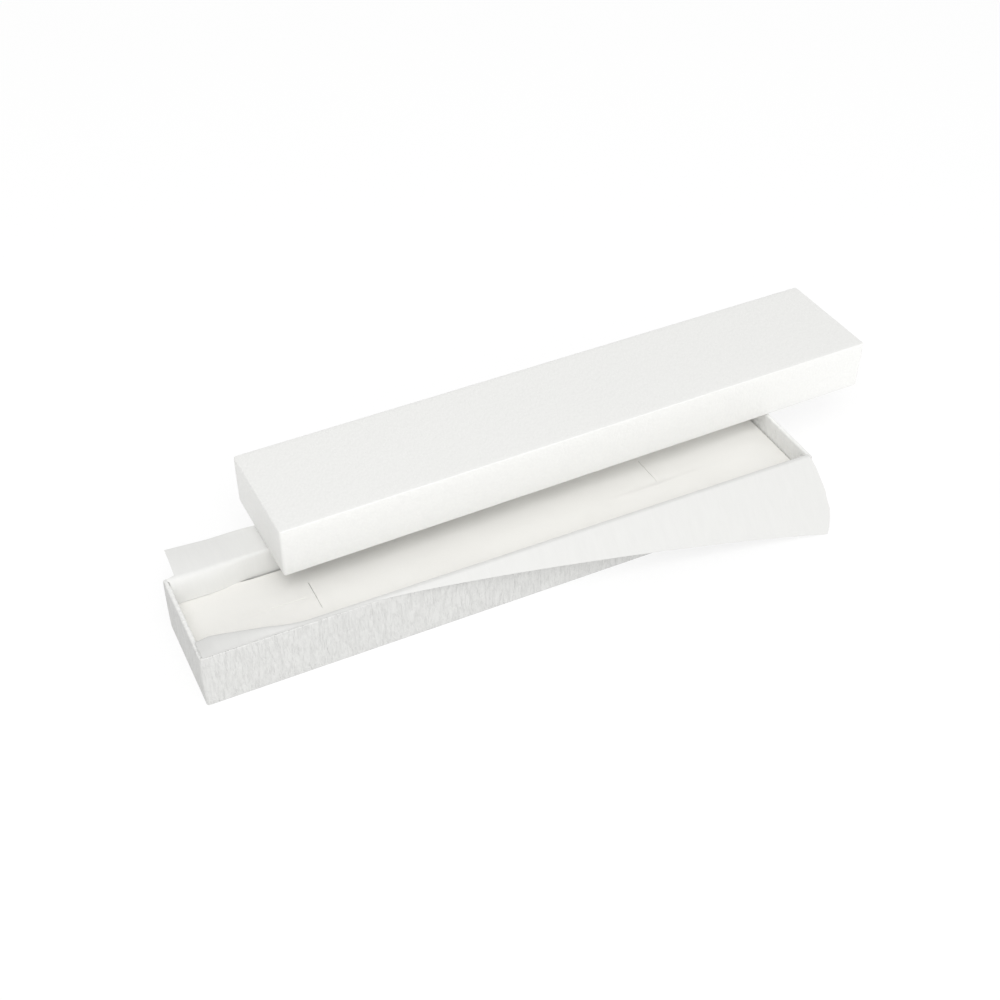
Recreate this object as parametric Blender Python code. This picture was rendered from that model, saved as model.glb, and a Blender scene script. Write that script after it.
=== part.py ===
"""Long jewelry gift box: paper-wrapped board base, insert pad, loose paper leaf, lift-off lid.

Frame: origin at the centre of the base's underside, +X along the box to the right,
+Y to the back, +Z up. Lengths are written in millimetres and scaled by MM.
"""
import math

import bmesh
import bpy

MM = 0.001

# Driving dimensions, in millimetres
BASE_LENGTH = 224.6
BASE_WIDTH = 38.8
BASE_HEIGHT = 21.0
LID_LENGTH = 228.1
LID_WIDTH = 42.3
LID_HEIGHT = 18.8
LID_CENTRE = (36.7, 26.7)      # where the lid lies, from the base's centre
LID_YAW = 1.25                 # degrees
LID_GAP_OVER_RIM = 0.8         # the leaf's paper passes between rim and lid

PAPER = 0.2                    # wrapping paper, lining and leaf
BOARD = 0.7                    # grey board of both trays
GLUE = 0.2                     # clear space where two glued layers meet
CLEAR = 0.3                    # clear space between loose pieces
WALL = PAPER + GLUE + BOARD + GLUE + PAPER
CORNER_RADIUS = 0.9
CORNER_STEPS = 3
SMALLEST_RADIUS = 0.15         # of a rounded corner on an inner face
TURN_IN = 13.0                 # how far the wrap runs down the inside of a wall
SCORE_SLIT = 0.25              # open slit where two board walls meet at a corner

STAY_REACH = 9.0               # corner tape, along each wall
STAY_PAPER = 0.1
STAY_RELIEF = 0.3              # the tape is pressed this far into the board
STAY_MARGIN = 0.8              # tape ends this far below the rim
STAY_FLOOR_GAP = 0.5           # tape starts this far above the board's floor

PAD_TOP = 12.3
PAD_COVER = 0.4
PAD_END_GAP = 0.5              # pad to each end wall
COVER_FLOOR_GAP = 2.0          # the cover's skirt ends this far above the foam's underside
SLIT_LENGTH = 13.0
SLIT_WIDTH = 0.6
SLIT_DEPTH = 6.0
SLITS = ((-68.2, 0.1), (61.2, 7.8))        # centres of the two crosswise slits

LEAF_FOLD_Z = BASE_HEIGHT + CLEAR          # underside of the leaf where it crosses a rim
LEAF_END_GAP = 0.8                         # leaf to each end wall
FLAP_LEAN = 43.0                           # front margin, degrees out from straight down
FLAP_START = -60.0                         # where the front margin's free edge leaves the rim
FLAP_CORNER = (108.0, 28.0)                # free corner: along X, distance from the fold
FLAP_CURVE = 1.28                          # power of the free edge's run down to that corner
FLAP_STEPS = 6
FLAP_TIP = 0.15                            # least reach at its narrow end
FLAP_BULGE = ((111.8, 20.0), (112.0, 12.0))    # its bulging right edge: along X, distance
FLAP_RIGHT_GAP = 0.6                       # fold's right end, inside the base's end face
BACK_FLAP_LEFT = (-108.4, -107.6)          # left edge of the back margin: at fold, at free edge
BACK_FLAP_REACH = 13.6
BACK_FLAP_TAPER = 0.085                    # loss of reach for each millimetre along X
BACK_FLAP_END = 40.0
LEAF_BACK_DROP = 2.0                       # back edge below the fold, at the right end
CURL = ((-110.2, 1.0), (-107.8, 1.3), (-101.6, 1.1), (-90.0, 0.7), (-80.0, 0.0))    # (X, rise)

EPS = 0.02                                 # overshoot that keeps cutter faces off the solids'

# Worked out from the dimensions above
CORNERS = (
    (-1, -1, "front_left"),
    (1, -1, "front_right"),
    (-1, 1, "back_left"),
    (1, 1, "back_right"),
)
STAY_LOW = PAPER + GLUE + BOARD + STAY_FLOOR_GAP
LEAF_LOW = WALL + CLEAR                    # the lining's upper face is WALL above the table
PAD_LOW = LEAF_LOW + PAPER + CLEAR
FOLD_Y = BASE_WIDTH / 2 + CLEAR            # fold line of both margins, from the middle
FLAP_ROOT = CLEAR                          # a margin starts this far from its fold line


# ---------------------------------------------------------------- materials

def principled(name, colour, roughness):
    """A Principled material of one colour."""
    material = bpy.data.materials.new(name)
    material.use_nodes = True
    shader = material.node_tree.nodes["Principled BSDF"]
    shader.inputs["Base Color"].default_value = (*colour, 1.0)
    shader.inputs["Roughness"].default_value = roughness
    shader.inputs["Metallic"].default_value = 0.0
    material.diffuse_color = (*colour, 1.0)
    return material


# ---------------------------------------------------------------- objects

def new_object(name, mesh, material, parent=None):
    """Link a mesh as a named object with its material."""
    item = bpy.data.objects.new(name, mesh)
    bpy.context.scene.collection.objects.link(item)
    mesh.materials.append(material)
    item.parent = parent
    return item


def mesh_from(bm, name):
    """Turn a bmesh into a mesh with outward faces."""
    bmesh.ops.recalc_face_normals(bm, faces=bm.faces)
    mesh = bpy.data.meshes.new(name)
    bm.to_mesh(mesh)
    bm.free()
    return mesh


def rounded_rectangle(half_x, half_y, radius):
    """Corner-rounded outline, counter-clockwise, as (x, y) pairs."""
    points = []
    for corner, (sx, sy) in enumerate(((1, 1), (-1, 1), (-1, -1), (1, -1))):
        cx = sx * (half_x - radius)
        cy = sy * (half_y - radius)
        for step in range(CORNER_STEPS + 1):
            angle = math.radians(90.0 * (corner + step / CORNER_STEPS))
            points.append((cx + radius * math.cos(angle), cy + radius * math.sin(angle)))
    return points


def ring_shell(name, half_x, half_y, profile, material, parent=None):
    """A closed shell from (inset, z) rings round a rectangle, capped at both ends."""
    bm = bmesh.new()
    rings = []
    for inset, z in profile:
        radius = max(CORNER_RADIUS - inset, SMALLEST_RADIUS)
        outline = rounded_rectangle(half_x - inset, half_y - inset, radius)
        rings.append([bm.verts.new((x * MM, y * MM, z * MM)) for x, y in outline])
    for lower, upper in zip(rings, rings[1:]):
        count = len(lower)
        for i in range(count):
            j = (i + 1) % count
            bm.faces.new((lower[i], lower[j], upper[j], upper[i]))
    bm.faces.new(rings[0])
    bm.faces.new(rings[-1])
    return new_object(name, mesh_from(bm, name), material, parent)


def block_mesh(name, low, high):
    """A box between two corners."""
    bm = bmesh.new()
    bmesh.ops.create_cube(bm, size=1.0)
    for vert in bm.verts:
        vert.co = [(low[i] + (vert.co[i] + 0.5) * (high[i] - low[i])) * MM for i in range(3)]
    return mesh_from(bm, name)


def hidden(name, mesh, parent):
    """Link a mesh as a cutter that isn't part of the box."""
    item = bpy.data.objects.new(name, mesh)
    bpy.context.scene.collection.objects.link(item)
    item.parent = parent
    item.hide_render = True
    item.display_type = "WIRE"
    return item


def box_cutter(name, low, high, parent):
    """A hidden box that a Boolean subtracts."""
    return hidden(name, block_mesh(name, low, high), parent)


def subtract(target, tool):
    """Cut the tool out of the target."""
    modifier = target.modifiers.new(tool.name, "BOOLEAN")
    modifier.operation = "DIFFERENCE"
    modifier.solver = "EXACT"
    modifier.object = tool


def plate(name, outline, thickness, material, parent=None):
    """A flat sheet: (x, reach) outline in the XY plane, its thickness upward along Z."""
    bm = bmesh.new()
    bottom = [bm.verts.new((x * MM, y * MM, 0.0)) for x, y in outline]
    face = bm.faces.new(bottom)
    lifted = bmesh.ops.extrude_face_region(bm, geom=[face])["geom"]
    tops = [item for item in lifted if isinstance(item, bmesh.types.BMVert)]
    bmesh.ops.translate(bm, verts=tops, vec=(0.0, 0.0, thickness * MM))
    return new_object(name, mesh_from(bm, name), material, parent)


# ---------------------------------------------------------------- trays (base and lid)

def wrap_shell(name, length, width, height, material, parent):
    """Outer paper: over the bottom and walls, round the rim and down the inside."""
    profile = (
        (0.0, 0.0),
        (0.0, height),
        (WALL, height),
        (WALL, height - TURN_IN),
        (WALL - PAPER, height - TURN_IN),
        (WALL - PAPER, height - PAPER),
        (PAPER, height - PAPER),
        (PAPER, PAPER),
    )
    return ring_shell(name, length / 2, width / 2, profile, material, parent)


def board_tray(name, length, width, height, material, parent):
    """One scored grey board folded into a tray, open by a slit beside each end wall."""
    outer = PAPER + GLUE
    inner = outer + BOARD
    profile = ((outer, outer), (outer, height - outer), (inner, height - outer), (inner, inner))
    tray = ring_shell(name, length / 2, width / 2, profile, material, parent)
    for sx, sy, corner in CORNERS:
        x_in = sx * (length / 2 - inner - EPS)
        x_out = sx * (length / 2)
        y_wall = sy * (width / 2 - inner)
        y_slit = y_wall - sy * SCORE_SLIT
        low = (min(x_in, x_out), min(y_wall, y_slit), inner)
        high = (max(x_in, x_out), max(y_wall, y_slit), height)
        subtract(tray, box_cutter(f"{name}_{corner}_slit", low, high, parent))
        subtract(tray, stay_relief(f"{name}_{corner}_relief", length, width, height, sx, sy, parent))
    return tray


def stay_outline(length, width, sx, sy, outer, inner):
    """L-shaped plan of the tape round one corner, between two insets from the outside."""
    start_x = length / 2 - STAY_REACH
    start_y = width / 2 - STAY_REACH
    plan = [(start_x, width / 2 - outer)]
    plan += corner_arc(length, width, CORNER_RADIUS - outer)
    plan += [(length / 2 - outer, start_y), (length / 2 - inner, start_y)]
    plan += reversed(corner_arc(length, width, CORNER_RADIUS - inner))
    plan += [(start_x, width / 2 - inner)]
    return [(sx * x, sy * y) for x, y in plan]


def corner_arc(length, width, radius):
    """Quarter arc about the centre that every rounded corner shares, back wall to end wall."""
    cx = length / 2 - CORNER_RADIUS
    cy = width / 2 - CORNER_RADIUS
    points = []
    for step in range(CORNER_STEPS + 1):
        angle = math.radians(90.0 * (1.0 - step / CORNER_STEPS))
        points.append((cx + radius * math.cos(angle), cy + radius * math.sin(angle)))
    return points


def corner_prism(name, plan, z_low, z_high):
    """Mesh of a vertical prism over an L-shaped plan."""
    bm = bmesh.new()
    low = [bm.verts.new((x * MM, y * MM, z_low * MM)) for x, y in plan]
    high = [bm.verts.new((x * MM, y * MM, z_high * MM)) for x, y in plan]
    count = len(plan)
    for i in range(count):
        j = (i + 1) % count
        bm.faces.new((low[i], low[j], high[j], high[i]))
    bm.faces.new(low)
    bm.faces.new(high)
    return mesh_from(bm, name)


def stay_relief(name, length, width, height, sx, sy, parent):
    """The shallow step that the corner tape sits in, as a hidden cutter."""
    inner = PAPER + GLUE + STAY_RELIEF
    plan = stay_outline(length, width, sx, sy, PAPER, inner)
    mesh = corner_prism(name, plan, STAY_LOW - CLEAR, height)
    return hidden(name, mesh, parent)


def corner_stay(name, length, width, height, sx, sy, material, parent):
    """Paper tape round one vertical corner of the board."""
    outer = PAPER + GLUE
    plan = stay_outline(length, width, sx, sy, outer, outer + STAY_PAPER)
    mesh = corner_prism(name, plan, STAY_LOW, height - outer - STAY_MARGIN)
    return new_object(name, mesh, material, parent)


def lining_sheet(name, length, width, material, parent):
    """Paper on the inside of the tray's floor."""
    inset = WALL - PAPER
    low = PAPER + GLUE + BOARD + GLUE
    profile = ((inset, low), (inset, low + PAPER))
    return ring_shell(name, length / 2, width / 2, profile, material, parent)


def tray(prefix, length, width, height, parent):
    """All the pieces of one paper-wrapped tray, open side up."""
    wrap_shell(f"{prefix}_wrap", length, width, height, WRAP_PAPER, parent)
    board_tray(f"{prefix}_board", length, width, height, GREY_BOARD, parent)
    for sx, sy, corner in CORNERS:
        name = f"{prefix}_stay_{corner}"
        corner_stay(name, length, width, height, sx, sy, STAY_TAPE, parent)
    lining_sheet(f"{prefix}_lining", length, width, LINING_PAPER, parent)


# ---------------------------------------------------------------- insert pad

def insert_pad(parent):
    """Foam block under a flocked cover; both carry the two crosswise slits."""
    half_x = BASE_LENGTH / 2 - WALL - PAD_END_GAP
    half_y = BASE_WIDTH / 2 - WALL - 2 * CLEAR - PAPER
    cover_low = PAD_LOW + COVER_FLOOR_GAP
    inner = PAD_COVER
    cover_profile = (
        (0.0, PAD_TOP),
        (0.0, cover_low),
        (inner, cover_low),
        (inner, PAD_TOP - PAD_COVER),
    )
    cover = ring_shell("pad_cover", half_x, half_y, cover_profile, FLOCK, parent)
    foam_inset = PAD_COVER + CLEAR
    foam_top = PAD_TOP - PAD_COVER - CLEAR
    foam = ring_shell("pad_foam", half_x, half_y, ((foam_inset, PAD_LOW), (foam_inset, foam_top)),
                      FOAM, parent)
    for number, (x, y) in enumerate(SLITS, start=1):
        low = (x - SLIT_WIDTH / 2, y - SLIT_LENGTH / 2, PAD_TOP - SLIT_DEPTH)
        high = (x + SLIT_WIDTH / 2, y + SLIT_LENGTH / 2, PAD_TOP + CLEAR)
        tool = box_cutter(f"pad_slit_{number}", low, high, parent)
        subtract(cover, tool)
        subtract(foam, tool)


# ---------------------------------------------------------------- paper leaf

def leaf_bed():
    """The leaf inside the base: under the pad, up both long walls and over the rims."""
    x_end = BASE_LENGTH / 2 - WALL - LEAF_END_GAP
    y_wall = BASE_WIDTH / 2 - WALL - CLEAR - PAPER / 2
    y_out = BASE_WIDTH / 2 + CLEAR
    floor = LEAF_LOW + PAPER / 2
    fold = LEAF_FOLD_Z + PAPER / 2
    bm = bmesh.new()

    def point(x, y, z):
        return bm.verts.new((x * MM, y * MM, z * MM))

    front_low = [point(x, -y_wall, floor) for x in (-x_end, x_end)]
    back_low = [point(x, y_wall, floor) for x in (-x_end, x_end)]
    bm.faces.new((front_low[0], front_low[1], back_low[1], back_low[0]))

    curl = [point(x, -y_wall, fold + rise) for x, rise in CURL]
    start = point(FLAP_START, -y_wall, fold)
    end = point(x_end, -y_wall, fold)
    bm.faces.new((front_low[0], front_low[1], end, start, *reversed(curl)))
    over = [point(x, -y_out, fold) for x in (FLAP_START, x_end)]
    bm.faces.new((start, end, over[1], over[0]))

    back_start = point(BACK_FLAP_LEFT[0], y_wall, fold)
    back_end = point(BACK_FLAP_END, y_wall, fold)
    back_right = point(x_end, y_wall, fold - LEAF_BACK_DROP)
    bm.faces.new((back_low[1], back_low[0], back_start, back_end, back_right))
    back_over = [point(x, y_out, fold) for x in (BACK_FLAP_LEFT[0], BACK_FLAP_END)]
    bm.faces.new((back_end, back_start, back_over[0], back_over[1]))

    leaf = new_object("leaf_bed", mesh_from(bm, "leaf_bed"), LEAF_PAPER)
    sheet = leaf.modifiers.new("paper", "SOLIDIFY")
    sheet.thickness = PAPER * MM
    sheet.offset = 0.0
    sheet.use_even_offset = True


def fold_pivot(name, side):
    """Empty on a margin's fold line, beside the rim."""
    pivot = bpy.data.objects.new(name, None)
    bpy.context.scene.collection.objects.link(pivot)
    pivot.location = (0.0, side * FOLD_Y * MM, (LEAF_FOLD_Z + PAPER / 2) * MM)
    return pivot


def leaf_front_flap():
    """Front margin of the leaf, turned down outside the front wall."""
    pivot = fold_pivot("leaf_front_fold", -1.0)
    pivot.rotation_euler = (math.radians(90.0 - FLAP_LEAN), 0.0, 0.0)
    outline = [(FLAP_START, -FLAP_ROOT)]
    for step in range(FLAP_STEPS + 1):
        share = step / FLAP_STEPS
        x = FLAP_START + share * (FLAP_CORNER[0] - FLAP_START)
        outline.append((x, -max(FLAP_CORNER[1] * share ** FLAP_CURVE, FLAP_ROOT + FLAP_TIP)))
    outline += [(x, -distance) for x, distance in FLAP_BULGE]
    outline.append((BASE_LENGTH / 2 - FLAP_RIGHT_GAP, -FLAP_ROOT))
    flap = plate("leaf_front_flap", outline, PAPER, LEAF_PAPER, pivot)
    flap.location.z = -PAPER / 2 * MM


def leaf_back_flap():
    """Back margin of the leaf, lying out over the back rim and under the lid."""
    pivot = fold_pivot("leaf_back_fold", 1.0)
    end_reach = BACK_FLAP_REACH - BACK_FLAP_TAPER * (BACK_FLAP_END - BACK_FLAP_LEFT[1])
    outline = [
        (BACK_FLAP_LEFT[0], FLAP_ROOT),
        (BACK_FLAP_END, FLAP_ROOT),
        (BACK_FLAP_END, end_reach),
        (BACK_FLAP_LEFT[1], BACK_FLAP_REACH),
    ]
    flap = plate("leaf_back_flap", outline, PAPER, LEAF_PAPER, pivot)
    flap.location.z = -PAPER / 2 * MM


# ---------------------------------------------------------------- build

for old in list(bpy.data.objects):
    bpy.data.objects.remove(old, do_unlink=True)

WRAP_PAPER = principled("embossed_white_paper", (0.86, 0.86, 0.85), 0.75)
LINING_PAPER = principled("smooth_white_paper", (0.84, 0.84, 0.82), 0.7)
LEAF_PAPER = principled("leaf_paper", (0.88, 0.88, 0.87), 0.8)
GREY_BOARD = principled("grey_board", (0.42, 0.40, 0.37), 0.95)
STAY_TAPE = principled("stay_tape", (0.78, 0.72, 0.60), 0.85)
FLOCK = principled("white_flock", (0.85, 0.84, 0.81), 0.95)
FOAM = principled("white_foam", (0.88, 0.88, 0.86), 0.95)

tray("base", BASE_LENGTH, BASE_WIDTH, BASE_HEIGHT, None)
insert_pad(None)
leaf_bed()
leaf_front_flap()
leaf_back_flap()

lid_frame = bpy.data.objects.new("lid_frame", None)
bpy.context.scene.collection.objects.link(lid_frame)
lid_top = BASE_HEIGHT + LID_GAP_OVER_RIM + LID_HEIGHT
lid_frame.location = (LID_CENTRE[0] * MM, LID_CENTRE[1] * MM, lid_top * MM)
lid_frame.rotation_euler = (math.pi, 0.0, math.radians(LID_YAW))
tray("lid", LID_LENGTH, LID_WIDTH, LID_HEIGHT, lid_frame)
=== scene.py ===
"""Looks of the long jewelry gift box: two paper-wrapped trays, a flocked pad and a loose leaf.

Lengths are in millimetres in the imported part's frame; MM turns them into metres where a mesh is
written. UV maps are in metres, so that every texture has its real scale.
"""

import math

import bmesh
import bpy
import numpy as np
from mathutils import Matrix, Vector, noise


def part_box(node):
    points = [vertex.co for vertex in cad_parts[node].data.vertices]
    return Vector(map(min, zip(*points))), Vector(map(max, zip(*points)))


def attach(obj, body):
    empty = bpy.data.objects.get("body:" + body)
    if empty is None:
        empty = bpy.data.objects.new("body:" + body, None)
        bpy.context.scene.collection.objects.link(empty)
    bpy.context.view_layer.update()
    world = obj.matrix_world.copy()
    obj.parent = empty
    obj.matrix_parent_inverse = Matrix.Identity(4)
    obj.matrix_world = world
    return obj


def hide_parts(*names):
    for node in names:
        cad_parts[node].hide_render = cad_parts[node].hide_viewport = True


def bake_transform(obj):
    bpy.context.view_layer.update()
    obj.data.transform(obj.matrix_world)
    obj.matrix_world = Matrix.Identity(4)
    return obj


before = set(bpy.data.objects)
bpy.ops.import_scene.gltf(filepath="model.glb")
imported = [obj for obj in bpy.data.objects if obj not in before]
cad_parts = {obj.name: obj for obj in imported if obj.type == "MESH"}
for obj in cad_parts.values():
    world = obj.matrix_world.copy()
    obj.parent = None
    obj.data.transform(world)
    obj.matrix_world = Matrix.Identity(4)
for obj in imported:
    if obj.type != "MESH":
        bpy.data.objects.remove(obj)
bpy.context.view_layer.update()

MM = 0.001
UV = "paper"

# The part's own thicknesses and angles, as its CAD source has them
PAPER = 0.2
WALL = 1.5
CLEAR = 0.3
CORNER_RADIUS = 0.9
TURN_IN = 13.0
LID_YAW = 1.25                 # degrees
PAD_COVER = 0.4                # thickness of the flocked cover
FLAP_LEAN = 43.0               # front margin of the leaf, degrees out from straight down
FLAP_START = -60.0             # where its free edge leaves the rim
FLAP_CORNER = (108.0, 28.0)    # its free corner: along X, distance from the fold
FLAP_CURVE = 1.28              # power of that edge's run down to the corner
BACK_LEFT = (-108.4, -107.6)   # left edge of the back margin: at the fold, at the free edge
BACK_REACH = 13.6              # of the back margin past its fold, at its left edge
BACK_TAPER = 0.085             # loss of reach for each millimetre along X, as far as BACK_END
BACK_END = 40.0
SLITS = ((-68.2, 0.1), (61.2, 7.8))    # centres of the two crosswise slits
SLIT_LENGTH = 13.0

# Pad
SLIT_WIDTHS = (0.09, 0.2)      # at the front end, at the back end
SLIT_CUT = 3.0                 # the cutter reaches this far above and below the pad's top
SLIT_COLUMNS = (-2.2, -1.1, 1.1, 2.2)    # extra columns of the mesh beside a slit
PAD_ROWS = (15.0, 13.0, 11.0, 9.0, 7.0, 5.0, 3.6, 2.4, 1.6)    # of its top: distance from its side
PAD_CAP_HALF = 0.3             # half width of the narrow cap in the middle of its top
PAD_EDGE = 0.8                 # rounding of its top edge
PAD_CROWN = 0.4                # rise of its middle over its edges
PAD_RIGHT_RISE = 1.3           # its top is this much higher at its right end,
RIGHT_RISE_FROM = 0.55         # and starts to rise at this share of its half length
PAD_DENTS = 0.14
SLIT_LIPS = 0.3                # the cover sinks this much towards a slit,
LIP_ZONE = 3.5                 # from this far beside it
PAD_SHOULDER = 3.0             # width of its top's fall towards its sides
END_SWELL = 0.3                # its sides swell towards both ends,
SWELL_LEFT = (-86.0, -92.0)    # from the first of these places along X to the second
SWELL_RIGHT = (104.0, 110.0)
BACK_PINCH = 0.35              # and its back side draws in, right of these
PINCH_STARTS = (-90.0, -84.0)
SIDE_ZONE = 2.5                # a side's swell fades out this far in from it

# Wrapping
EDGE_STEPS = 5                 # faces round a corner or an edge
STOP_SPACING = 3.5             # between columns of the mesh along a side
SHARP_ANGLE = 50.0             # edges past this many degrees stay sharp
LEAST_RADIUS = 0.12            # of the corners of an inner ring
CAP_HALF = 0.6                 # half width of the narrow cap in the middle of the closed face
FACE_ROWS = (4.0, 2.2)         # distance of the closed face's last rows from its edge
WALL_ROWS = (0.2, 0.4, 0.6, 0.8)          # shares of the outer wall's height
TURN_IN_ROWS = (0.25, 0.5, 0.75, 1.0)     # and of the turned-in paper's
BASE_EDGE = 0.6                # rounding of each tray's edges at its closed face
LID_EDGE = 0.4
RIM_ROUND = 0.45               # rounding of the rim, inside and outside
TAB_WIDTH = 9.8                # a side's paper reaches this far round the corner, under the end's
TAB_STEP = 0.1                 # and stands this far off there,
TAB_RAMP = 0.15                # from this far before its edge to this far past it
WRAP_LUMP = 0.09               # how far the glued paper waves off its board
LUMP_SIZES = (17.0, 30.0)      # of those waves, on the walls and on the closed face
BASE_SEED = 3.0                # of those waves
LID_SEED = 11.0
RIM_PAINTED_LIGHT = (1.4, 0.4)       # before the rim: where painted light starts to whiten the base's paper, and where it is white

# Leaf
LEAF_SHEET = 0.16              # thickness
LEAF_COLUMNS = 112
LEAF_SHARP_ANGLE = 40.0
LEAF_SPREAD = 0.5              # the leaf reaches closer to the left end wall than its CAD solid,
LEAF_OVER_END = 0.7            # and above that wall's rim this much farther
RISE_ZONE = (0.5, 0.1)         # below the fold, where it starts and where it is complete
SEAM_Z = 12.0                  # where the back margin's mesh meets the rest of the leaf
FRONT_RISE = (11.0, 15.0)      # height of the front arch's start and of its first handle
FLOOR_BEND = 1.3               # developed lengths of the bends on the floor and past the front rim
OUTER_BEND = 0.75
FLOOR_BEND_ROWS = 4
FRONT_ROWS = (8, 6, 6)         # of its mesh up the front wall, round on to the rim, across the rim
ARCH_TOP = 1.0                 # where it isn't creased, the leaf stands this far over the front rim
ARCH_LEAN = 5.6                # and its arch starts this far in from the wall, at the left end
ARCH_ENDS = (-111.0, -76.0)    # whole at the first place along X, gone at the second
ARCH_TUCK = (-106.0, -110.0)   # it comes down to the rim between these
ARCH_WAVES = (0.25, 0.5)       # of its height, of its lean
INNER_BEND = (0.9, 0.75)       # from the front wall on to its rim: this far across, this far up
OUTER_BEND_IN = 0.45           # the bend past the rim begins this far in from the base's face
FLAP_TURNS = (-70.0, -50.0)    # between these the front margin begins to turn down over the rim
FLAP_ROWS = 16                 # of its mesh past the rim, the first three in its bend
BEND_ROWS = 3
EDGE_DROOP = 4.0               # degrees a row, where the margin is only a cut edge
FLAP_CURL = 0.3                # degrees a row, past its bend
EDGE_OVERHANG = 0.35           # of its cut edge past the rim
RIGHT_EDGE_START = -4.0        # before the rim, where its right edge leaves the CAD solid's
RIGHT_EDGE = (                 # that edge from the rim on: (distance past the rim, X)
    (0.0, 111.1), (2.5, 111.6), (5.5, 112.3), (9.0, 112.6), (13.0, 113.2),
    (17.0, 112.8), (20.0, 112.9), (26.0, 110.9), (28.5, 109.2),
)
RIPPLES = ((0.3, 21.0, 16.0), (0.12, 4.0, 6.0))    # of the front margin: (height, seed, size)
RIPPLE_ZONE = 14.0             # they are whole this far past the rim
SWEEP_ENDS = (-98.0, -82.0)    # the back margin sweeps up off the pad to the left of these
SWEEP_START = 2.0              # distance of that sweep's start from the back wall
BACK_RISE_ROWS = 14            # of its mesh up to its fold, and from there to its free edge
BACK_OUT_ROWS = 9
BACK_SAG = 0.006               # where it sweeps, its free part sags by this times its reach squared
BACK_RIPPLE = 0.1
BACK_LEAST = 0.4               # its reach at the right end
BACK_HANDLES = ((0.5, -0.9), (-0.4, 0.15))    # of its rise: along Y where it sweeps, above the fold
BACK_FOLD_IN = (0.5, 0.1)      # its fold lies this far in from the base's face: creased, swept
FRONT_TONES_SHADED_LEFT = (0.66, 0.695)    # of the paper at its left end, darker there as painted shade on its arch, and right of its arch
FRONT_SHADE_PLACES = (-92.0, -62.0)
# the back margin's paper: the leaf's paper painted lighter, as painted light on the back wall and its
# rim
BACK_PAINTED_LIGHT_TONE = 0.795

# Camera and light
CAMERA_PLACE = (-168.06, -330.78, 349.93)
CAMERA_TURN = (49.025, -0.519, -26.267)
CAMERA_LENS = 53.04
SKY_LEVEL = 1.055
SKY_SLOPE = (0.214, -0.255, -0.5)   # the sky brightens to the right, the front and the horizon
KEY_SIZE = 900.0
KEY_DISTANCE = 1400.0
KEY_TURN = (-26.0, 58.0)            # degrees to the right of straight in front, above the table
KEY_POWER = 7.95
FLOOR_TONE = 0.27              # of the table, and the glow that keeps it white under soft shadows
FLOOR_GLOW = 0.745
FLOOR_REACH = 3000.0


# ---------------------------------------------------------------- measures

def box_mm(node):
    """Lowest and highest corner of a CAD node, in millimetres."""
    low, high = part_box(node)
    return low / MM, high / MM


def smooth(start, end, value):
    """Smoothstep from 0 at start to 1 at end."""
    share = min(max((value - start) / (end - start), 0.0), 1.0)
    return share * share * (3.0 - 2.0 * share)


def mix(a, b, share):
    """Straight line from a to b."""
    return a + (b - a) * share


def wave(x, y, seed, size):
    """Smooth noise between about -1 and 1 over features of that size."""
    return noise.noise(Vector((x / size, y / size, seed)))


# ---------------------------------------------------------------- meshes

def grid_object(name, points, uvs, closed=False, cap=(), joins=None):
    """Quads over rows of points. closed joins each row into a ring; cap has faces of the first row.

    joins has, for a row where the mapping changes, the UVs that the faces before it use.
    """
    joins = joins or {}
    columns = len(points[0])
    span = columns if closed else columns - 1
    faces = []
    corners = []
    for i in range(len(points) - 1):
        upper = joins.get(i + 1, uvs[i + 1])
        for j in range(span):
            k = (j + 1) % columns
            here, beyond = i * columns, (i + 1) * columns
            faces.append((here + j, here + k, beyond + k, beyond + j))
            corners += [uvs[i][j], uvs[i][j + 1], upper[j + 1], upper[j]]
    for face in cap:
        faces.append(face)
        corners += [uvs[0][j] for j in face]
    mesh = bpy.data.meshes.new(name)
    mesh.from_pydata([Vector(p) * MM for row in points for p in row], [], faces)
    layer = mesh.uv_layers.new(name=UV)
    layer.data.foreach_set("uv", np.array(corners, np.float32).ravel() * MM)
    mesh.shade_smooth()
    item = bpy.data.objects.new(name, mesh)
    bpy.context.scene.collection.objects.link(item)
    return item


def thicken(item, thickness, offset):
    """Solidify a surface."""
    modifier = item.modifiers.new("thickness", "SOLIDIFY")
    modifier.thickness = thickness * MM
    modifier.offset = offset
    modifier.use_even_offset = True


def settle(item):
    """Make the modifiers' result the object's own mesh."""
    graph = bpy.context.evaluated_depsgraph_get()
    mesh = bpy.data.meshes.new_from_object(item.evaluated_get(graph))
    item.modifiers.clear()
    item.data = mesh


def sharpen(item, degrees):
    """Smooth shading, with edges past that angle kept sharp."""
    item.data.shade_smooth()
    item.data.set_sharp_from_angle(angle=math.radians(degrees))


def finish_piece(item, material, slot, body, *replaced):
    """Material, body and the CAD nodes that the piece stands for. slot is not used."""
    item.data.materials.clear()
    item.data.materials.append(material)
    if body:
        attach(item, body)
    if replaced:
        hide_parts(*replaced)


# ---------------------------------------------------------------- wrapped trays

def side_stops(half, radius, extra=()):
    """Places along one side of a ring, between its rounded corners."""
    count = max(int(half * 2 / STOP_SPACING), 6)
    stops = list(np.linspace(radius - half, half - radius, count))
    return sorted(stops + list(extra))


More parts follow.
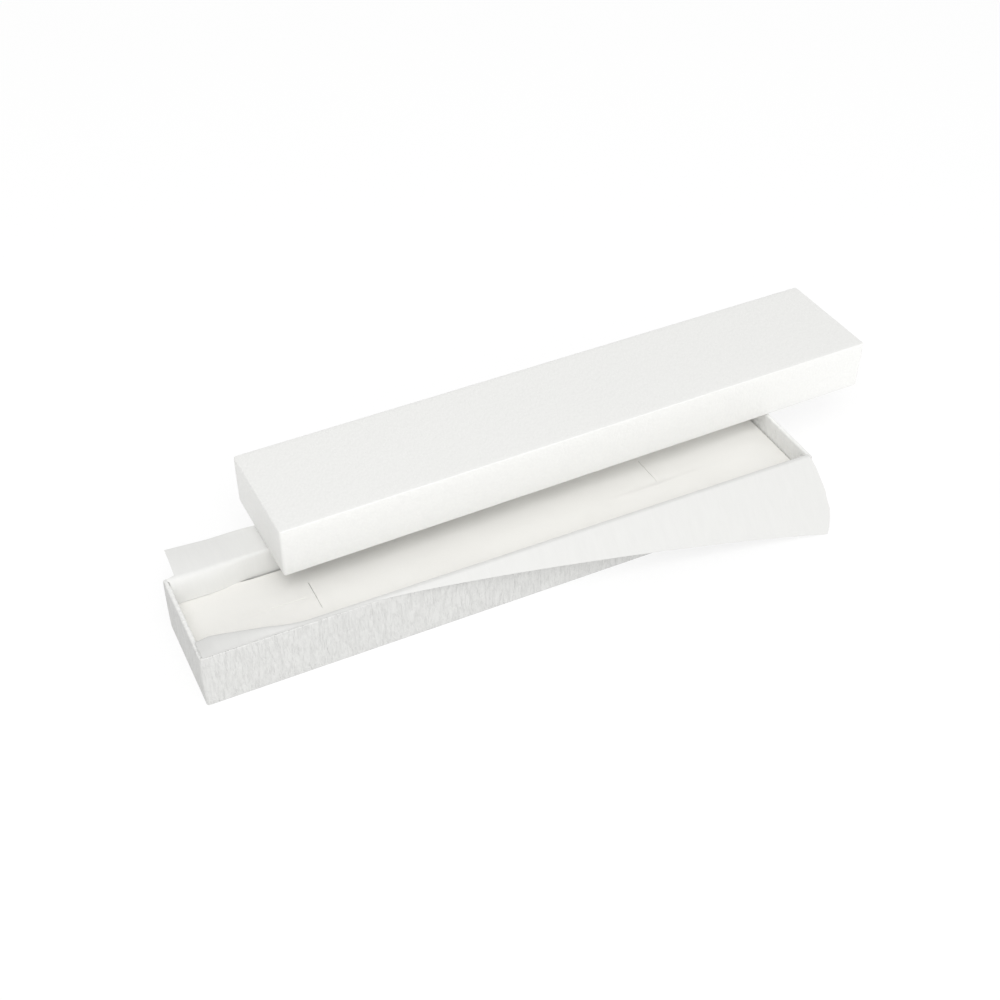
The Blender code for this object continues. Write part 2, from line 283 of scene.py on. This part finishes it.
def outline(half_x, half_y, inset, stops_x, stops_y):
    """Corner-rounded ring at an inset, counter-clockwise: (x, y, distance along the outer ring)."""
    radius = max(CORNER_RADIUS - inset, LEAST_RADIUS)
    centre_x = half_x - inset - radius
    centre_y = half_y - inset - radius
    scale_x = centre_x / (half_x - CORNER_RADIUS)
    scale_y = centre_y / (half_y - CORNER_RADIUS)
    ring = []
    along = 0.0
    sides = (
        ([(half_x - inset, y * scale_y) for y in stops_y], stops_y, (1, 1)),
        ([(x * scale_x, half_y - inset) for x in reversed(stops_x)], stops_x, (-1, 1)),
        ([(inset - half_x, y * scale_y) for y in reversed(stops_y)], stops_y, (-1, -1)),
        ([(x * scale_x, inset - half_y) for x in stops_x], stops_x, (1, -1)),
    )
    arc = math.pi / 2 * CORNER_RADIUS
    for number, (points, stops, (sx, sy)) in enumerate(sides):
        offsets = [s - stops[0] for s in stops]
        if number in (1, 2):
            offsets = [stops[-1] - s for s in reversed(stops)]
        ring += [(x, y, along + offset) for (x, y), offset in zip(points, offsets)]
        along += stops[-1] - stops[0]
        for step in range(1, EDGE_STEPS):
            share = step / EDGE_STEPS
            angle = math.pi / 2 * (number + share)
            ring.append((sx * centre_x + radius * math.cos(angle),
                         sy * centre_y + radius * math.sin(angle),
                         along + arc * share))
        along += arc
    return ring, along


def ring_cap(stops_x, stops_y):
    """Faces that close a ring that is drawn in to a narrow slot: quads across it, and its two ends."""
    turn = EDGE_STEPS - 1
    back = len(stops_y) + turn
    front = back + len(stops_x) + turn + len(stops_y) + turn
    total = front + len(stops_x) + turn
    last = len(stops_x) - 1
    faces = []
    for k in range(last):
        faces.append((front + k, back + last - k, back + last - k - 1, front + k + 1))
    faces.append(tuple([*range(front + last, total), *range(0, back + 1)][::-1]))
    faces.append(tuple(range(back + last, front + 1))[::-1])
    return faces


def quarter(centre, radius, start, end):
    """Points of a quarter turn in (inset, z) about a centre, both angles in degrees."""
    turns = [math.radians(mix(start, end, k / EDGE_STEPS)) for k in range(EDGE_STEPS + 1)]
    return [(centre[0] + radius * math.cos(t), centre[1] + radius * math.sin(t)) for t in turns]


def tray_profile(half_y, height, edge):
    """(inset, z) from the middle of the closed face, round the rim and down the inside."""
    profile = [(inset, 0.0) for inset in (half_y - CAP_HALF, half_y * 0.7, half_y * 0.45, *FACE_ROWS)]
    profile += quarter((edge, edge), edge, 270.0, 180.0)
    for share in WALL_ROWS:
        profile.append((0.0, mix(edge, height - RIM_ROUND, share)))
    profile += quarter((RIM_ROUND, height - RIM_ROUND), RIM_ROUND, 180.0, 90.0)
    inner = WALL - RIM_ROUND
    profile += quarter((inner, height - RIM_ROUND), RIM_ROUND, 90.0, 0.0)
    for share in TURN_IN_ROWS:
        profile.append((WALL, mix(height - RIM_ROUND, height - TURN_IN, share)))
    return profile


def wrapped_tray(name, half_x, half_y, height, edge, seed):
    """The paper of one tray as it is glued: rounded edges, slight waves and corner tabs."""
    tab = half_y - TAB_WIDTH
    stops_x = side_stops(half_x, CORNER_RADIUS)
    tab_stops = [side * tab + past for side in (-1, 1) for past in (-TAB_RAMP, TAB_RAMP)]
    stops_y = side_stops(half_y, CORNER_RADIUS, tab_stops)
    profile = tray_profile(half_y, height, edge)
    points = []
    uvs = []
    joins = {}
    down = 0.0
    for row, (inset, z) in enumerate(profile):
        if row:
            down += math.dist(profile[row - 1], (inset, z))
        ring, total = outline(half_x, half_y, inset, stops_x, stops_y)
        line = []
        for x, y, along in ring:
            if z <= 0.0:
                lump = WRAP_LUMP * wave(x, y, seed, LUMP_SIZES[1]) * smooth(1.0, 6.0, inset)
                line.append((x, y, z - lump))
                continue
            lump = WRAP_LUMP * wave(along, z, seed, LUMP_SIZES[0])
            face = smooth(0.0, 3.0, z) * smooth(height, height - 2.5, z)
            out = (lump * face, 0.0)[inset > WALL / 2]
            if abs(x) > half_x - WALL - 0.1 and abs(y) > tab and inset < WALL / 2:
                out += TAB_STEP * face
            away = Vector((x / half_x, y / half_y))
            ends = abs(away.x) > abs(away.y)
            grow = (math.copysign(out, x), 0.0) if ends else (0.0, math.copysign(out, y))
            line.append((x + grow[0], y + grow[1], z))
        points.append(line)
        flat = [(x, y) for x, y, _ in ring] + [ring[0][:2]]
        wall = z > edge * 0.4
        if wall and not joins:
            joins[row] = flat
        uvs.append([(along, down) for _, _, along in ring] + [(total, down)] if wall else flat)
    item = grid_object(name, points, uvs, closed=True, cap=ring_cap(stops_x, stops_y), joins=joins)
    thicken(item, PAPER, -1.0)
    return item


def base_wrap():
    """Paper of the base, in place."""
    low, high = box_mm("base_wrap")
    size = high - low
    item = wrapped_tray("base_paper", size.x / 2, size.y / 2, size.z, BASE_EDGE, BASE_SEED)
    settle(item)
    sharpen(item, SHARP_ANGLE)
    return item


def lid_wrap():
    """Paper of the lid, turned over and laid where the CAD lid lies."""
    low, high = box_mm("lid_wrap")
    size = high - low
    cos, sin = math.cos(math.radians(LID_YAW)), math.sin(math.radians(LID_YAW))
    across = (size.x - 2 * CORNER_RADIUS, size.y - 2 * CORNER_RADIUS)
    spread = cos * cos - sin * sin
    half_x = (across[0] * cos - across[1] * sin) / spread / 2 + CORNER_RADIUS
    half_y = (across[1] * cos - across[0] * sin) / spread / 2 + CORNER_RADIUS
    item = wrapped_tray("lid_paper", half_x, half_y, size.z, LID_EDGE, LID_SEED)
    settle(item)
    sharpen(item, SHARP_ANGLE)
    middle = (low + high) / 2 * MM
    middle.z = high.z * MM
    turn = Matrix.Rotation(math.radians(LID_YAW), 4, "Z") @ Matrix.Rotation(math.pi, 4, "X")
    item.data.transform(Matrix.Translation(middle) @ turn)
    return item


# ---------------------------------------------------------------- pad

def pad_top(x, y, half_x, half_y, inset):
    """Height of the pad's soft top above its CAD face."""
    crown = PAD_CROWN * smooth(0.0, half_y, inset)
    tilt = PAD_RIGHT_RISE * smooth(half_x * RIGHT_RISE_FROM, half_x, x)
    dents = PAD_DENTS * wave(x, y, 5.0, 21.0)
    lips = 0.0
    for slit_x, slit_y in SLITS:
        if abs(y - slit_y) < SLIT_LENGTH / 2 + 2.0:
            lips -= SLIT_LIPS * smooth(LIP_ZONE, 0.0, abs(x - slit_x))
    return (crown + dents + lips) * smooth(0.0, PAD_SHOULDER, inset) + tilt


def slit_cutter(x, y, z):
    """A narrow wedge that tapers to the front."""
    plan = []
    for end, width in zip((-1, 1), SLIT_WIDTHS):
        for side in (-1, 1):
            plan.append((x + side * end * width / 2, y + end * SLIT_LENGTH / 2))
    bm = bmesh.new()
    rings = [[bm.verts.new(Vector((px, py, pz)) * MM) for px, py in plan]
             for pz in (z - SLIT_CUT, z + SLIT_CUT)]
    for i in range(4):
        j = (i + 1) % 4
        bm.faces.new((rings[0][i], rings[0][j], rings[1][j], rings[1][i]))
    bm.faces.new(rings[0])
    bm.faces.new(rings[1])
    bmesh.ops.recalc_face_normals(bm, faces=bm.faces)
    mesh = bpy.data.meshes.new("slit")
    bm.to_mesh(mesh)
    bm.free()
    item = bpy.data.objects.new("slit", mesh)
    bpy.context.scene.collection.objects.link(item)
    return item


def flocked_pad():
    """The pad's cover: a crowned soft top over a short skirt, with its two slits cut."""
    low, high = box_mm("pad_cover")
    half_x = (high.x - low.x) / 2
    half_y = (high.y - low.y) / 2
    stops_x = side_stops(half_x, CORNER_RADIUS)
    for slit_x, _ in SLITS:
        stops_x += [slit_x + beside for beside in SLIT_COLUMNS]
    stops_x = sorted(stops_x)
    stops_y = side_stops(half_y, CORNER_RADIUS)
    profile = [(half_y - PAD_CAP_HALF, high.z)]
    profile += [(inset, high.z) for inset in PAD_ROWS]
    profile += quarter((PAD_EDGE, high.z - PAD_EDGE), PAD_EDGE, 90.0, 180.0)
    profile += [(0.0, mix(high.z - PAD_EDGE, low.z, share)) for share in (0.33, 0.66, 1.0)]
    profile.reverse()
    points = []
    uvs = []
    down = 0.0
    for row, (inset, z) in enumerate(profile):
        if row:
            down += math.dist(profile[row - 1], (inset, z))
        ring, total = outline(half_x, half_y, inset, stops_x, stops_y)
        lift = smooth(low.z, high.z, z)
        line = []
        for x, y, _ in ring:
            near_side = smooth(SIDE_ZONE, 0.0, inset)
            near_end = max(smooth(*SWELL_LEFT, x), smooth(*SWELL_RIGHT, x))
            swell = END_SWELL * lift * near_side * near_end
            shrink = BACK_PINCH * near_side * smooth(*PINCH_STARTS, x) * smooth(0.0, half_y, y)
            side = smooth(0.0, half_y - 1.0, abs(y))
            line.append((x + math.copysign(swell, x) * (abs(x) > half_x - 3.0),
                         y + (swell - shrink) * side * math.copysign(1.0, y),
                         z + lift * pad_top(x, y, half_x, half_y, inset)))
        points.append(line)
        uvs.append([(x, y) for x, y, _ in ring] + [(ring[0][0], ring[0][1])])
    item = grid_object("pad_flocked_cover", points, uvs, closed=True)
    bm = bmesh.new()
    bm.from_mesh(item.data)
    bm.verts.ensure_lookup_table()
    last = [bm.verts[len(bm.verts) - len(points[0]) + j] for j in range(len(points[0]))]
    bm.faces.new(last)
    bmesh.ops.recalc_face_normals(bm, faces=bm.faces)
    bm.to_mesh(item.data)
    bm.free()
    thicken(item, PAD_COVER, -1.0)
    cutters = [slit_cutter(x, y, high.z) for x, y in SLITS]
    for cutter in cutters:
        cut = item.modifiers.new(cutter.name, "BOOLEAN")
        cut.operation = "DIFFERENCE"
        cut.object = cutter
    settle(item)
    for cutter in cutters:
        bpy.data.objects.remove(cutter)
    sharpen(item, SHARP_ANGLE)
    return item


# ---------------------------------------------------------------- leaf

def curve(a, b, c, d, steps):
    """Points of a cubic curve, both its ends among them."""
    line = []
    for k in range(steps + 1):
        share = k / steps
        left = 1.0 - share
        weights = (left ** 3, 3 * left * left * share, 3 * left * share * share, share ** 3)
        line.append(tuple(sum(w * p[i] for w, p in zip(weights, (a, b, c, d))) for i in (0, 1)))
    return line


def front_reach(x):
    """How far the leaf's front margin reaches past its fold."""
    share = max((x - FLAP_START) / (FLAP_CORNER[0] - FLAP_START), 0.0)
    return max(FLAP_CORNER[1] * share ** FLAP_CURVE, EDGE_OVERHANG)


def arch_share(x):
    """1 at the left end, where the leaf arches loosely over the front rim, to 0 where it is creased."""
    return 1.0 - smooth(*ARCH_ENDS, x)


def front_over_rim(x, wall_y, fold_z, rim_y):
    """Points of the leaf from halfway up the front wall to the outer edge of its rim."""
    arch = arch_share(x)
    loose = 1.0 - smooth(*ARCH_TUCK, x)
    above_rim = ARCH_TOP * min(arch * 3.0, 1.0) + ARCH_WAVES[0] * arch * wave(x, 0.0, 31.0, 9.0)
    top = fold_z + above_rim * loose
    lean = ARCH_LEAN * arch + ARCH_WAVES[1] * arch * wave(x, 5.0, 32.0, 11.0)
    start, first = [(-wall_y, z) for z in FRONT_RISE]
    inner_y = -wall_y + lean
    crown_y = inner_y - INNER_BEND[0]
    outer_y = -rim_y + OUTER_BEND_IN
    rise = curve(start, first, (inner_y, top - mix(0.2, 3.5, arch)),
                 (inner_y, top - INNER_BEND[1]), FRONT_ROWS[0])
    turn = curve(rise[-1], (inner_y, top - 0.2), (crown_y + 0.35, top), (crown_y, top), FRONT_ROWS[1])
    over = curve((crown_y, top), (crown_y - 0.4 - lean * 0.4, top),
                 (outer_y + 0.15 + lean * 0.2, fold_z + 0.35 * arch), (outer_y, fold_z), FRONT_ROWS[2])
    return rise + turn[1:] + over[1:]


def lengths_along(line):
    """Distance along a line of points, at each of them."""
    along = [0.0]
    for before, after in zip(line, line[1:]):
        along.append(along[-1] + math.dist(before, after))
    return along


def left_edge(half_x, fold_z, z, share):
    """X of the leaf's left edge inside the base, with a share of its spread past the CAD solid's."""
    over_end = LEAF_OVER_END * smooth(fold_z - RISE_ZONE[0], fold_z - RISE_ZONE[1], z)
    return -half_x - (LEAF_SPREAD + over_end) * share


def sheet_object(name, columns):
    """The paper over columns of (point, UV), one column for each place along X."""
    points = [[point for point, _ in row] for row in zip(*columns)]
    uvs = [[uv for _, uv in row] for row in zip(*columns)]
    item = grid_object(name, points, uvs)
    thicken(item, LEAF_SHEET, 0.0)
    settle(item)
    sharpen(item, LEAF_SHARP_ANGLE)
    return item


def leaf_sheet(half_x, wall_y, floor_z, fold_z, rim_y):
    """The leaf from the back wall's seam, under the pad, up the front wall and over its rim."""
    lean = math.radians(FLAP_LEAN)
    bend = FLOOR_BEND * 2 / math.pi
    floor = [(wall_y, SEAM_Z), (wall_y, mix(SEAM_Z, floor_z, 0.5))]
    for side, start in ((1, 0.0), (-1, 90.0)):
        for k in range(FLOOR_BEND_ROWS + 1):
            angle = math.radians(start + 90.0 * k / FLOOR_BEND_ROWS)
            centre = (side * (wall_y - bend), floor_z + bend)
            floor.append((centre[0] + bend * math.cos(angle), centre[1] - bend * math.sin(angle)))
    columns = []
    lengths = []
    for j in range(LEAF_COLUMNS):
        share = j / (LEAF_COLUMNS - 1)
        x = mix(-half_x, half_x, share)
        reach = front_reach(x)
        bend_reach = min(OUTER_BEND, reach)
        over = smooth(*FLAP_TURNS, x)
        line = floor + front_over_rim(x, wall_y, fold_z, rim_y)
        along = lengths_along(line)
        rim = along[-1]
        heading = 180.0
        y, z = line[-1]
        for k in range(FLAP_ROWS):
            if k < BEND_ROWS:
                step = bend_reach / BEND_ROWS
                heading += (90.0 - FLAP_LEAN) * over / BEND_ROWS + EDGE_DROOP * (1.0 - over)
            else:
                step = max(reach - bend_reach, 0.06) / (FLAP_ROWS - BEND_ROWS)
                heading += FLAP_CURL * over
            y += step * math.cos(math.radians(heading))
            z += step * math.sin(math.radians(heading))
            line.append((y, z))
            along.append(along[-1] + step)
        lengths.append(along[-1])
        column = []
        for s, (y, z) in zip(along, line):
            past = s - rim
            right = float(np.interp(past, *zip((RIGHT_EDGE_START, half_x), *RIGHT_EDGE)))
            px = mix(left_edge(half_x, fold_z, z, arch_share(x)), right, share)
            free = smooth(0.0, RIPPLE_ZONE, past)
            ripple = free * math.fsum(high * wave(px, s, seed, size) for high, seed, size in RIPPLES)
            column.append(((px, y - ripple * math.cos(lean), z + ripple * math.sin(lean)), (px, s)))
        columns.append(column)
    return sheet_object("leaf_sheet", columns), sum(lengths) / len(lengths), max(lengths)


def leaf_back_margin(half_x, wall_y, fold_z, rim_y, pad_z):
    """The rest of the leaf: up the back wall, over its rim and out, partly under the lid."""
    columns = []
    lengths = []
    for j in range(LEAF_COLUMNS):
        share = j / (LEAF_COLUMNS - 1)
        x = mix(-half_x, half_x, share)
        sweep = 1.0 - smooth(*SWEEP_ENDS, x)
        start = (wall_y - SWEEP_START * sweep, mix(SEAM_Z, pad_z - 0.15, sweep))
        low, high = [(y + along_y * sweep, fold_z + above)
                     for y, (along_y, above) in zip((start[0], wall_y), BACK_HANDLES)]
        end = (rim_y - mix(*BACK_FOLD_IN, sweep), fold_z)
        line = curve(start, low, high, end, BACK_RISE_ROWS)
        reach = BACK_REACH - BACK_TAPER * (min(x, BACK_END) - BACK_LEFT[1]) + rim_y - end[0] + CLEAR
        if x > BACK_END:
            reach = mix(reach, BACK_LEAST, (x - BACK_END) / (half_x - BACK_END))
        for k in range(1, BACK_OUT_ROWS + 1):
            out = reach * k / BACK_OUT_ROWS
            line.append((end[0] + out, fold_z - BACK_SAG * out * out * sweep))
        along = lengths_along(line)
        lengths.append(along[-1])
        rim = along[BACK_RISE_ROWS]
        column = []
        for s, (y, z) in zip(along, line):
            left = float(np.interp(s, (rim - 0.8, rim, rim + BACK_REACH),
                                   (left_edge(half_x, fold_z, z, 1.0), *BACK_LEFT)))
            px = mix(left, half_x, share)
            loose = smooth(rim, rim + 8.0, s)
            column.append(((px, y, z + BACK_RIPPLE * loose * wave(px, s, 9.0, 14.0)), (px, -s)))
        columns.append(column[::-1])
    return sheet_object("leaf_back_margin", columns), sum(lengths) / len(lengths), max(lengths)


# ---------------------------------------------------------------- materials

class Nodes:
    """A Principled material with short calls for its texture nodes."""

    def __init__(self, name, roughness, specular=0.35, sheen=0.0):
        self.material = bpy.data.materials.new(name)
        self.material.use_nodes = True
        self.tree = self.material.node_tree
        self.shader = self.tree.nodes["Principled BSDF"]
        self.shader.inputs["Roughness"].default_value = roughness
        self.shader.inputs["Specular IOR Level"].default_value = specular
        self.shader.inputs["Sheen Weight"].default_value = sheen

    def node(self, kind, **values):
        """A node with its properties set."""
        made = self.tree.nodes.new(kind)
        for key, value in values.items():
            setattr(made, key, value)
        return made

    def place(self, scale, own=True):
        """Stretched coordinates: the piece's own UV map, or a CAD node's metres."""
        mapping = self.node("ShaderNodeMapping")
        mapping.inputs["Scale"].default_value = scale
        if own:
            source = self.node("ShaderNodeUVMap", uv_map=UV).outputs["UV"]
        else:
            source = self.node("ShaderNodeTexCoord").outputs["Object"]
        self.tree.links.new(source, mapping.inputs["Vector"])
        return mapping.outputs["Vector"]

    def noise(self, where, detail=2.0, roughness=0.5, distortion=0.0):
        """Noise of unit scale at those coordinates."""
        made = self.node("ShaderNodeTexNoise")
        made.inputs["Scale"].default_value = 1.0
        made.inputs["Detail"].default_value = detail
        made.inputs["Roughness"].default_value = roughness
        made.inputs["Distortion"].default_value = distortion
        self.tree.links.new(where, made.inputs["Vector"])
        return made.outputs["Fac"]

    def cells(self, where):
        """Smooth cells of unit scale at those coordinates."""
        made = self.node("ShaderNodeTexVoronoi", feature="SMOOTH_F1")
        made.inputs["Scale"].default_value = 1.0
        made.inputs["Smoothness"].default_value = 0.6
        self.tree.links.new(where, made.inputs["Vector"])
        return made.outputs["Distance"]

    def ramp(self, value, *stops):
        """Colour from a value: (position, colour) stops."""
        made = self.node("ShaderNodeValToRGB")
        elements = made.color_ramp.elements
        while len(elements) < len(stops):
            elements.new(0.5)
        for element, (position, colour) in zip(elements, stops):
            element.position = position
            element.color = (*colour, 1.0)
        self.tree.links.new(value, made.inputs["Fac"])
        return made.outputs["Color"]

    def blend(self, first, second, axis, start, end):
        """From the first colour to the second between two places, in millimetres, along U or V."""
        split = self.node("ShaderNodeSeparateXYZ")
        self.tree.links.new(self.place((1.0, 1.0, 1.0)), split.inputs["Vector"])
        ease = self.node("ShaderNodeMapRange", interpolation_type="SMOOTHSTEP")
        ease.inputs["From Min"].default_value = start * MM
        ease.inputs["From Max"].default_value = end * MM
        self.tree.links.new(split.outputs[axis], ease.inputs["Value"])
        made = self.node("ShaderNodeMix", data_type="RGBA")
        self.tree.links.new(ease.outputs["Result"], made.inputs["Factor"])
        self.tree.links.new(first, made.inputs[6])
        self.tree.links.new(second, made.inputs[7])
        return made.outputs[2]

    def sum(self, a, b, share):
        """a plus share times b."""
        made = self.node("ShaderNodeMath", operation="MULTIPLY_ADD")
        self.tree.links.new(b, made.inputs[0])
        made.inputs[1].default_value = share
        self.tree.links.new(a, made.inputs[2])
        return made.outputs["Value"]

    def paint(self, colour):
        """Link a colour to the shader."""
        self.tree.links.new(colour, self.shader.inputs["Base Color"])

    def bump(self, height, depth_mm, strength=1.0):
        """Surface relief of that depth."""
        made = self.node("ShaderNodeBump")
        made.inputs["Strength"].default_value = strength
        made.inputs["Distance"].default_value = depth_mm * MM
        self.tree.links.new(height, made.inputs["Height"])
        self.tree.links.new(made.outputs["Normal"], self.shader.inputs["Normal"])


def grey(level, warmth=0.02):
    """A near-neutral colour; warmth takes some blue out, and past paper's own 0.02 some green too."""
    return (level, level * (1.0 - 0.4 * max(warmth - 0.02, 0.0)), level * (1.0 - warmth))


def striated_paper(rim):
    """Wrapping paper of the base: wavy grain up and down the walls, darker in the grain's hollows
    partly as painted shade, and whiter past the rim as painted light on the rim and the inner walls.
    rim is how far the paper has run from the middle of the closed face."""
    n = Nodes("striated_paper", 0.72)
    grain = n.noise(n.place((980.0, 190.0, 1.0)), detail=2.0, distortion=1.1)
    fine = n.noise(n.place((2400.0, 900.0, 1.0)), detail=2.0)
    height = n.sum(grain, fine, 0.25)
    # darker in the grain's low parts: the paper's own grain tone, with painted shade in its hollows
    tone = n.ramp(height, (0.38, grey(0.585)), (0.72, grey(0.672)))
    # painted light: past the rim the paper is painted whiter, standing in for light on the rim and the
    # inner walls
    inside = n.ramp(height, (0.35, grey(0.85)), (0.8, grey(0.88)))
    n.paint(n.blend(tone, inside, 1, *[rim - before for before in RIM_PAINTED_LIGHT]))
    n.bump(height, 0.5)
    return n.material


def pebbled_paper():
    """Wrapping paper of the lid: fine embossed pebbles."""
    n = Nodes("pebbled_paper", 0.68)
    pebbles = n.cells(n.place((1150.0, 1150.0, 1.0)))
    drift = n.noise(n.place((420.0, 420.0, 1.0)), detail=2.0)
    height = n.sum(pebbles, drift, 0.5)
    n.paint(n.ramp(height, (0.2, grey(0.857)), (1.0, grey(0.832))))
    n.bump(height, 0.08)
    return n.material


def leaf_paper(name, levels, places=()):
    """Thin loose paper with a faint grain. With two levels, it changes between two places along X."""
    n = Nodes(name, 0.75)
    grain = n.noise(n.place((520.0, 90.0, 1.0)), detail=2.5, distortion=0.6)
    fibres = n.noise(n.place((3000.0, 2200.0, 1.0)), detail=3.0)
    height = n.sum(grain, fibres, 0.15)
    tones = [n.ramp(height, (0.3, grey(level)), (0.8, grey(level + 0.02))) for level in levels]
    n.paint(n.blend(*tones, 0, *places) if places else tones[0])
    n.bump(height, 0.08)
    return n.material


def flock():
    """Short white fibres on the pad."""
    n = Nodes("white_flock", 1.0, specular=0.1, sheen=0.15)
    nap = n.noise(n.place((3200.0, 3200.0, 1.0)), detail=3.0)
    patches = n.noise(n.place((60.0, 90.0, 1.0)), detail=2.0)
    n.paint(n.ramp(n.sum(nap, patches, 0.8), (0.5, grey(0.84, 0.05)), (1.0, grey(0.875, 0.045))))
    n.bump(nap, 0.05)
    return n.material


def cad_material(name, scale, low, high, depth_mm, roughness):
    """Speckled finish for a CAD node that stays as it is."""
    n = Nodes(name, roughness)
    speckle = n.noise(n.place(scale, own=False), detail=4.0, roughness=0.6)
    n.paint(n.ramp(speckle, (0.35, low), (0.65, high)))
    n.bump(speckle, depth_mm)
    return n.material


def give(material, *names):
    """Put one material on CAD nodes."""
    for name in names:
        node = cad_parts[name]
        node.data.materials.clear()
        node.data.materials.append(material)


# ---------------------------------------------------------------- stage

def make_floor():
    """A pale, evenly lit table."""
    n = Nodes("pale_table", 0.9, specular=0.0)
    n.shader.inputs["Base Color"].default_value = (FLOOR_TONE, FLOOR_TONE, FLOOR_TONE, 1.0)
    n.shader.inputs["Emission Color"].default_value = (1.0, 1.0, 1.0, 1.0)
    n.shader.inputs["Emission Strength"].default_value = FLOOR_GLOW
    line = [-FLOOR_REACH, 0.0, FLOOR_REACH]
    points = [[(x, y, 0.0) for x in line] for y in line]
    uvs = [[(x, y) for x in line] for y in line]
    item = grid_object("floor", points, uvs)
    item.data.materials.append(n.material)


def make_sky():
    """Soft studio light: a white sky that brightens towards one side, and plain display tones."""
    world = bpy.data.worlds.new("studio")
    world.use_nodes = True
    bpy.context.scene.world = world
    tree = world.node_tree
    where = tree.nodes.new("ShaderNodeTexCoord")
    dot = tree.nodes.new("ShaderNodeVectorMath")
    dot.operation = "DOT_PRODUCT"
    dot.inputs[1].default_value = SKY_SLOPE
    level = tree.nodes.new("ShaderNodeMath")
    level.operation = "ADD"
    level.inputs[1].default_value = SKY_LEVEL
    tree.links.new(where.outputs["Generated"], dot.inputs[0])
    tree.links.new(dot.outputs["Value"], level.inputs[0])
    tree.links.new(level.outputs["Value"], tree.nodes["Background"].inputs["Strength"])
    tree.nodes["Background"].inputs["Color"].default_value = (1.0, 1.0, 1.0, 1.0)
    bpy.context.scene.view_settings.view_transform = "Standard"


def make_key():
    """A broad soft lamp, above the box and to the front left of it."""
    data = bpy.data.lights.new("key", "AREA")
    data.size = KEY_SIZE * MM
    data.energy = KEY_POWER
    item = bpy.data.objects.new("key", data)
    azimuth, height = (math.radians(a) for a in KEY_TURN)
    level = math.cos(height)
    way = Vector((math.sin(azimuth) * level, -math.cos(azimuth) * level, math.sin(height)))
    item.location = way * KEY_DISTANCE * MM
    item.rotation_euler = way.to_track_quat("Z", "Y").to_euler()
    bpy.context.scene.collection.objects.link(item)


def make_camera():
    """The view of the box from the front left and above."""
    data = bpy.data.cameras.new("camera")
    data.lens = CAMERA_LENS
    data.clip_start = 0.01
    data.clip_end = 20.0
    item = bpy.data.objects.new("camera", data)
    item.location = Vector(CAMERA_PLACE) * MM
    item.rotation_euler = [math.radians(a) for a in CAMERA_TURN]
    bpy.context.scene.collection.objects.link(item)
    bpy.context.scene.camera = item


# ---------------------------------------------------------------- the box

make_camera()
make_sky()
make_key()
make_floor()

base_low, base_high = box_mm("base_wrap")
wrap_run = (base_high.y - base_low.y) / 2 + base_high.z
finish_piece(base_wrap(), striated_paper(wrap_run), "wrap_paper", "base", "base_wrap")
finish_piece(lid_wrap(), pebbled_paper(), "wrap_paper", "lid", "lid_wrap")

pad = flocked_pad()
finish_piece(pad, flock(), "flock", "pad", "pad_cover")

bed_low, bed_high = box_mm("leaf_bed")
wall_y = base_high.y - WALL - CLEAR - PAPER / 2
fold_z = base_high.z + CLEAR + PAPER / 2
floor_z = bed_low.z + PAPER / 2
leaf_half_x = (bed_high.x - bed_low.x) / 2
# the front paper is painted darker at its left end: painted shade on the arch over the front rim
front_paper_shaded_left = leaf_paper("leaf_paper_front_painted_shade", FRONT_TONES_SHADED_LEFT, FRONT_SHADE_PLACES)
# a lighter copy of the leaf's paper: painted light on the back margin
back_paper_painted_light = leaf_paper("leaf_paper_back_painted_light", [BACK_PAINTED_LIGHT_TONE])
sheet, sheet_length, sheet_longest = leaf_sheet(leaf_half_x, wall_y, floor_z, fold_z, base_high.y)
pad_z = box_mm("pad_cover")[1].z + CLEAR
back, back_length, back_longest = leaf_back_margin(leaf_half_x, wall_y, fold_z, base_high.y, pad_z)
finish_piece(sheet, front_paper_shaded_left, "leaf_paper", None, "leaf_bed", "leaf_front_flap")
finish_piece(back, back_paper_painted_light, "leaf_paper", None, "leaf_back_flap")
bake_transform(sheet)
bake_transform(back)

corners = [f"stay_{a}_{b}" for a in ("front", "back") for b in ("left", "right")]
board = cad_material("grey_board", (900.0, 900.0, 900.0),
                     grey(0.36, 0.1), grey(0.48, 0.08), 0.08, 0.95)
tape = cad_material("stay_tape", (600.0, 600.0, 2500.0),
                    (0.74, 0.66, 0.52), (0.82, 0.76, 0.64), 0.04, 0.85)
lining = cad_material("smooth_lining", (300.0, 300.0, 300.0), grey(0.82), grey(0.86), 0.03, 0.7)
foam = cad_material("white_foam", (1600.0, 1600.0, 1600.0),
                    grey(0.78, 0.03), grey(0.9, 0.02), 0.15, 0.95)
give(board, "base_board", "lid_board")
give(tape, *[f"{tray}_{corner}" for tray in ("base", "lid") for corner in corners])
give(lining, "base_lining", "lid_lining")
give(foam, "pad_foam")
